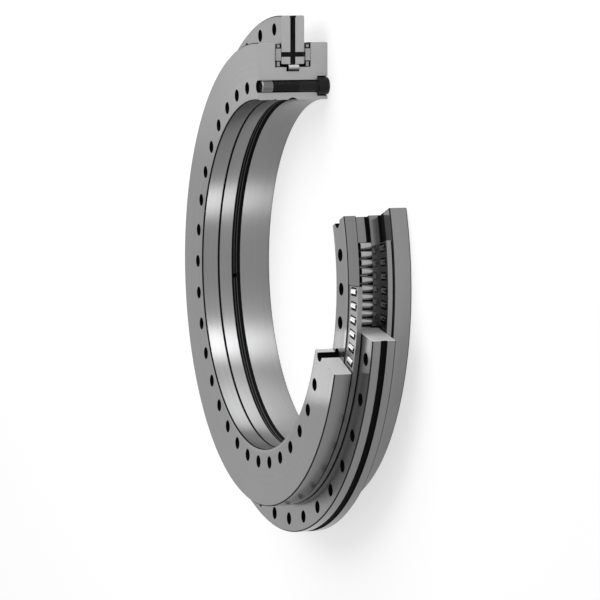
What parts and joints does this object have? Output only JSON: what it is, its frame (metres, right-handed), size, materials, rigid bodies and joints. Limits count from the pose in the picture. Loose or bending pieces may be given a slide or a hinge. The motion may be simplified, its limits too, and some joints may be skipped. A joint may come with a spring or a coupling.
{
  "type": "axial-radial cylindrical roller bearing",
  "caption": "Cut-open turntable bearing: flanged inner ring, support ring, drilled outer ring, two caged axial roller rows and a full radial row.",
  "frame": {"origin": "on the bearing's axis, in the plane of the back of the inner ring's flange, on which it lies", "axes": "+Z along the bearing's axis, from the flange towards the support ring; +X out through the section face that every ring starts from; angles run from +X to +Y, and the open sector lies below the X axis"},
  "size_m": [0.385, 0.3821, 0.055],
  "materials": {
    "inner_ring_steel": "fine turned and ground, bare",
    "support_ring_steel": "fine ground, bare",
    "outer_ring_steel": "fine turned and ground, bare",
    "cage_metal": "satin, pressed and deburred",
    "roller_steel": "ground and lapped",
    "screw_steel": "blackened",
    "sleeve_steel": "turned, bare"
  },
  "bodies": {
    "inner_rings": {"inner_ring": "inner_ring_steel", "support_ring": "support_ring_steel", "retaining_screw": "screw_steel", "retaining_sleeve": "sleeve_steel"},
    "outer_ring": {"outer_ring": "outer_ring_steel"},
    "front_axial_row": {"front_axial_cage": "cage_metal"},
    "rear_axial_row": {"rear_axial_cage": "cage_metal"},
    "radial_row": {"radial_roller_01": "roller_steel", "radial_roller_02": "roller_steel", "radial_roller_03": "roller_steel", "radial_roller_04": "roller_steel", "radial_roller_05": "roller_steel", "radial_roller_06": "roller_steel", "radial_roller_07": "roller_steel", "radial_roller_08": "roller_steel", "radial_roller_09": "roller_steel", "radial_roller_10": "roller_steel", "radial_roller_11": "roller_steel"},
    "front_axial_roller_01": {"front_axial_roller_01": "roller_steel"},
    "front_axial_roller_02": {"front_axial_roller_02": "roller_steel"},
    "front_axial_roller_03": {"front_axial_roller_03": "roller_steel"},
    "front_axial_roller_04": {"front_axial_roller_04": "roller_steel"},
    "front_axial_roller_05": {"front_axial_roller_05": "roller_steel"},
    "front_axial_roller_06": {"front_axial_roller_06": "roller_steel"},
    "front_axial_roller_07": {"front_axial_roller_07": "roller_steel"},
    "rear_axial_roller_01": {"rear_axial_roller_01": "roller_steel"},
    "rear_axial_roller_02": {"rear_axial_roller_02": "roller_steel"},
    "rear_axial_roller_03": {"rear_axial_roller_03": "roller_steel"},
    "rear_axial_roller_04": {"rear_axial_roller_04": "roller_steel"},
    "rear_axial_roller_05": {"rear_axial_roller_05": "roller_steel"},
    "rear_axial_roller_06": {"rear_axial_roller_06": "roller_steel"},
    "rear_axial_roller_07": {"rear_axial_roller_07": "roller_steel"}
  },
  "joints": [
    {"name": "outer_ring_turn", "type": "hinge", "parent": "inner_rings", "child": "outer_ring", "pos_m": [0, 0, 0.0275], "axis": [0, 0, 1], "continuous": true},
    {"name": "front_axial_row_turn", "type": "hinge", "parent": "inner_rings", "child": "front_axial_row", "pos_m": [0, 0, 0.039], "axis": [0, 0, 1], "continuous": true},
    {"name": "rear_axial_row_turn", "type": "hinge", "parent": "inner_rings", "child": "rear_axial_row", "pos_m": [0, 0, 0.016], "axis": [0, 0, 1], "continuous": true},
    {"name": "radial_row_turn", "type": "hinge", "parent": "inner_rings", "child": "radial_row", "pos_m": [0, 0, 0.0275], "axis": [0, 0, 1], "continuous": true},
    {"name": "front_axial_roller_01_spin", "type": "hinge", "parent": "front_axial_row", "child": "front_axial_roller_01", "pos_m": [0.1636, 0, 0.039], "axis": [1, 0, 0], "continuous": true},
    {"name": "front_axial_roller_02_spin", "type": "hinge", "parent": "front_axial_row", "child": "front_axial_roller_02", "pos_m": [-0.05056, -0.15559, 0.039], "axis": [-0.309, -0.9511, 0], "continuous": true},
    {"name": "front_axial_roller_03_spin", "type": "hinge", "parent": "front_axial_row", "child": "front_axial_roller_03", "pos_m": [-0.04069, -0.15846, 0.039], "axis": [-0.2487, -0.9686, 0], "continuous": true},
    {"name": "front_axial_roller_04_spin", "type": "hinge", "parent": "front_axial_row", "child": "front_axial_roller_04", "pos_m": [-0.03066, -0.1607, 0.039], "axis": [-0.1874, -0.9823, 0], "continuous": true},
    {"name": "front_axial_roller_05_spin", "type": "hinge", "parent": "front_axial_row", "child": "front_axial_roller_05", "pos_m": [-0.0205, -0.16231, 0.039], "axis": [-0.1253, -0.9921, 0], "continuous": true},
    {"name": "front_axial_roller_06_spin", "type": "hinge", "parent": "front_axial_row", "child": "front_axial_roller_06", "pos_m": [-0.01027, -0.16328, 0.039], "axis": [-0.0628, -0.998, 0], "continuous": true},
    {"name": "front_axial_roller_07_spin", "type": "hinge", "parent": "front_axial_row", "child": "front_axial_roller_07", "pos_m": [0, -0.1636, 0.039], "axis": [0, -1, 0], "continuous": true},
    {"name": "rear_axial_roller_01_spin", "type": "hinge", "parent": "rear_axial_row", "child": "rear_axial_roller_01", "pos_m": [0.1636, 0, 0.016], "axis": [1, 0, 0], "continuous": true},
    {"name": "rear_axial_roller_02_spin", "type": "hinge", "parent": "rear_axial_row", "child": "rear_axial_roller_02", "pos_m": [-0.0205, -0.16231, 0.016], "axis": [-0.1253, -0.9921, 0], "continuous": true},
    {"name": "rear_axial_roller_03_spin", "type": "hinge", "parent": "rear_axial_row", "child": "rear_axial_roller_03", "pos_m": [-0.01027, -0.16328, 0.016], "axis": [-0.0628, -0.998, 0], "continuous": true},
    {"name": "rear_axial_roller_04_spin", "type": "hinge", "parent": "rear_axial_row", "child": "rear_axial_roller_04", "pos_m": [0, -0.1636, 0.016], "axis": [0, -1, 0], "continuous": true},
    {"name": "rear_axial_roller_05_spin", "type": "hinge", "parent": "rear_axial_row", "child": "rear_axial_roller_05", "pos_m": [0.01027, -0.16328, 0.016], "axis": [0.0628, -0.998, 0], "continuous": true},
    {"name": "rear_axial_roller_06_spin", "type": "hinge", "parent": "rear_axial_row", "child": "rear_axial_roller_06", "pos_m": [0.0205, -0.16231, 0.016], "axis": [0.1253, -0.9921, 0], "continuous": true},
    {"name": "rear_axial_roller_07_spin", "type": "hinge", "parent": "rear_axial_row", "child": "rear_axial_roller_07", "pos_m": [0.03066, -0.1607, 0.016], "axis": [0.1874, -0.9823, 0], "continuous": true}
  ],
  "couplings": [
    {"joint": "front_axial_row_turn", "follows": "outer_ring_turn", "ratio": 0.5},
    {"joint": "rear_axial_row_turn", "follows": "outer_ring_turn", "ratio": 0.5},
    {"joint": "radial_row_turn", "follows": "outer_ring_turn", "ratio": 0.50894},
    {"joint": "front_axial_roller_01_spin", "follows": "outer_ring_turn", "ratio": 32.984},
    {"joint": "front_axial_roller_02_spin", "follows": "outer_ring_turn", "ratio": 32.984},
    {"joint": "front_axial_roller_03_spin", "follows": "outer_ring_turn", "ratio": 32.984},
    {"joint": "front_axial_roller_04_spin", "follows": "outer_ring_turn", "ratio": 32.984},
    {"joint": "front_axial_roller_05_spin", "follows": "outer_ring_turn", "ratio": 32.984},
    {"joint": "front_axial_roller_06_spin", "follows": "outer_ring_turn", "ratio": 32.984},
    {"joint": "front_axial_roller_07_spin", "follows": "outer_ring_turn", "ratio": 32.984},
    {"joint": "rear_axial_roller_01_spin", "follows": "outer_ring_turn", "ratio": -32.984},
    {"joint": "rear_axial_roller_02_spin", "follows": "outer_ring_turn", "ratio": -32.984},
    {"joint": "rear_axial_roller_03_spin", "follows": "outer_ring_turn", "ratio": -32.984},
    {"joint": "rear_axial_roller_04_spin", "follows": "outer_ring_turn", "ratio": -32.984},
    {"joint": "rear_axial_roller_05_spin", "follows": "outer_ring_turn", "ratio": -32.984},
    {"joint": "rear_axial_roller_06_spin", "follows": "outer_ring_turn", "ratio": -32.984},
    {"joint": "rear_axial_roller_07_spin", "follows": "outer_ring_turn", "ratio": -32.984}
  ]
}
